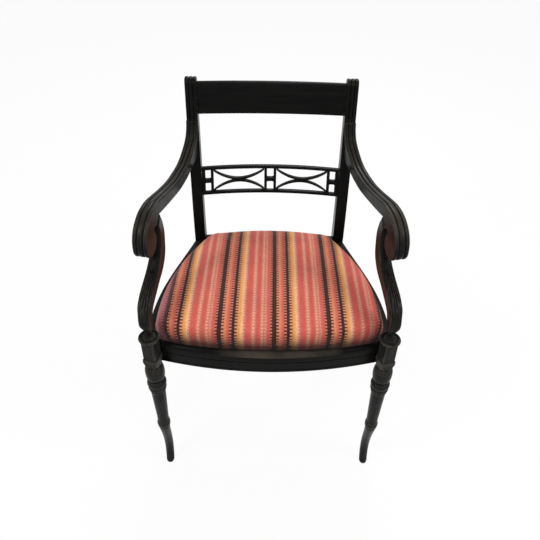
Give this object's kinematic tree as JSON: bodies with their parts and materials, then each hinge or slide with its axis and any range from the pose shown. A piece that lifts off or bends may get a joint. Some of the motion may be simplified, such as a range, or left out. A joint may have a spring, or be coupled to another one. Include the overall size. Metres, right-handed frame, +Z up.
{
  "type": "open armchair",
  "caption": "Ebonised open armchair with a plain crest, a pierced fret rail of crossed crescents, scrolled arms, turned front legs, sabre back legs and a striped drop-in seat.",
  "frame": {"origin": "on the floor, at the middle of the bounding box in plan", "axes": "+Z up from the floor, +Y from the chair's front to its back, +X across it to the right of someone who faces its front"},
  "size_m": [0.5728, 0.545, 0.8547],
  "materials": {
    "ebonised_wood": "satin ebonised with worn edges",
    "inner_wood": "bare beech, unfinished",
    "seat_frame_wood": "bare beech, unfinished",
    "screw_steel": "plain steel",
    "jute_webbing": "coarse woven",
    "seat_stuffing": "soft wadding",
    "striped_fabric": "woven stripe with stitched edges"
  },
  "bodies": {
    "chair_frame": {"right_front_leg": "ebonised_wood", "left_front_leg": "ebonised_wood", "right_back_post": "ebonised_wood", "left_back_post": "ebonised_wood", "right_arm": "ebonised_wood", "left_arm": "ebonised_wood", "right_arm_support": "ebonised_wood", "left_arm_support": "ebonised_wood", "right_side_seat_rail": "ebonised_wood", "left_side_seat_rail": "ebonised_wood", "right_fret_end_upright": "ebonised_wood", "left_fret_end_upright": "ebonised_wood", "right_fret_outer_upright": "ebonised_wood", "left_fret_outer_upright": "ebonised_wood", "right_fret_inner_upright": "ebonised_wood", "left_fret_inner_upright": "ebonised_wood", "right_fret_end_spacer": "ebonised_wood", "left_fret_end_spacer": "ebonised_wood", "right_fret_upper_crescent": "ebonised_wood", "left_fret_upper_crescent": "ebonised_wood", "right_fret_lower_crescent": "ebonised_wood", "left_fret_lower_crescent": "ebonised_wood", "front_seat_rail": "ebonised_wood", "back_seat_rail": "ebonised_wood", "crest_rail": "ebonised_wood", "fret_top_bar": "ebonised_wood", "fret_bottom_bar": "ebonised_wood", "fret_centre_spacer": "ebonised_wood", "right_leg_dowel": "inner_wood", "left_leg_dowel": "inner_wood", "right_arm_dowel": "inner_wood", "left_arm_dowel": "inner_wood", "right_support_head_dowel": "inner_wood", "left_support_head_dowel": "inner_wood", "right_front_corner_block": "inner_wood", "left_front_corner_block": "inner_wood", "right_back_corner_block": "inner_wood", "left_back_corner_block": "inner_wood", "right_front_block_front_screw": "screw_steel", "left_front_block_front_screw": "screw_steel", "right_front_block_side_screw": "screw_steel", "left_front_block_side_screw": "screw_steel", "right_back_block_back_screw": "screw_steel", "left_back_block_back_screw": "screw_steel", "right_back_block_side_screw": "screw_steel", "left_back_block_side_screw": "screw_steel"},
    "slip_seat": {"right_seat_frame_side": "seat_frame_wood", "left_seat_frame_side": "seat_frame_wood", "seat_frame_front": "seat_frame_wood", "seat_frame_back": "seat_frame_wood", "seat_webbing": "jute_webbing", "seat_pad": "seat_stuffing", "seat_cover": "striped_fabric"}
  },
  "joints": [
    {"name": "seat_lift", "type": "slide", "parent": "chair_frame", "child": "slip_seat", "axis": [0, 0, 1], "range_m": [0, 0.03]}
  ]
}
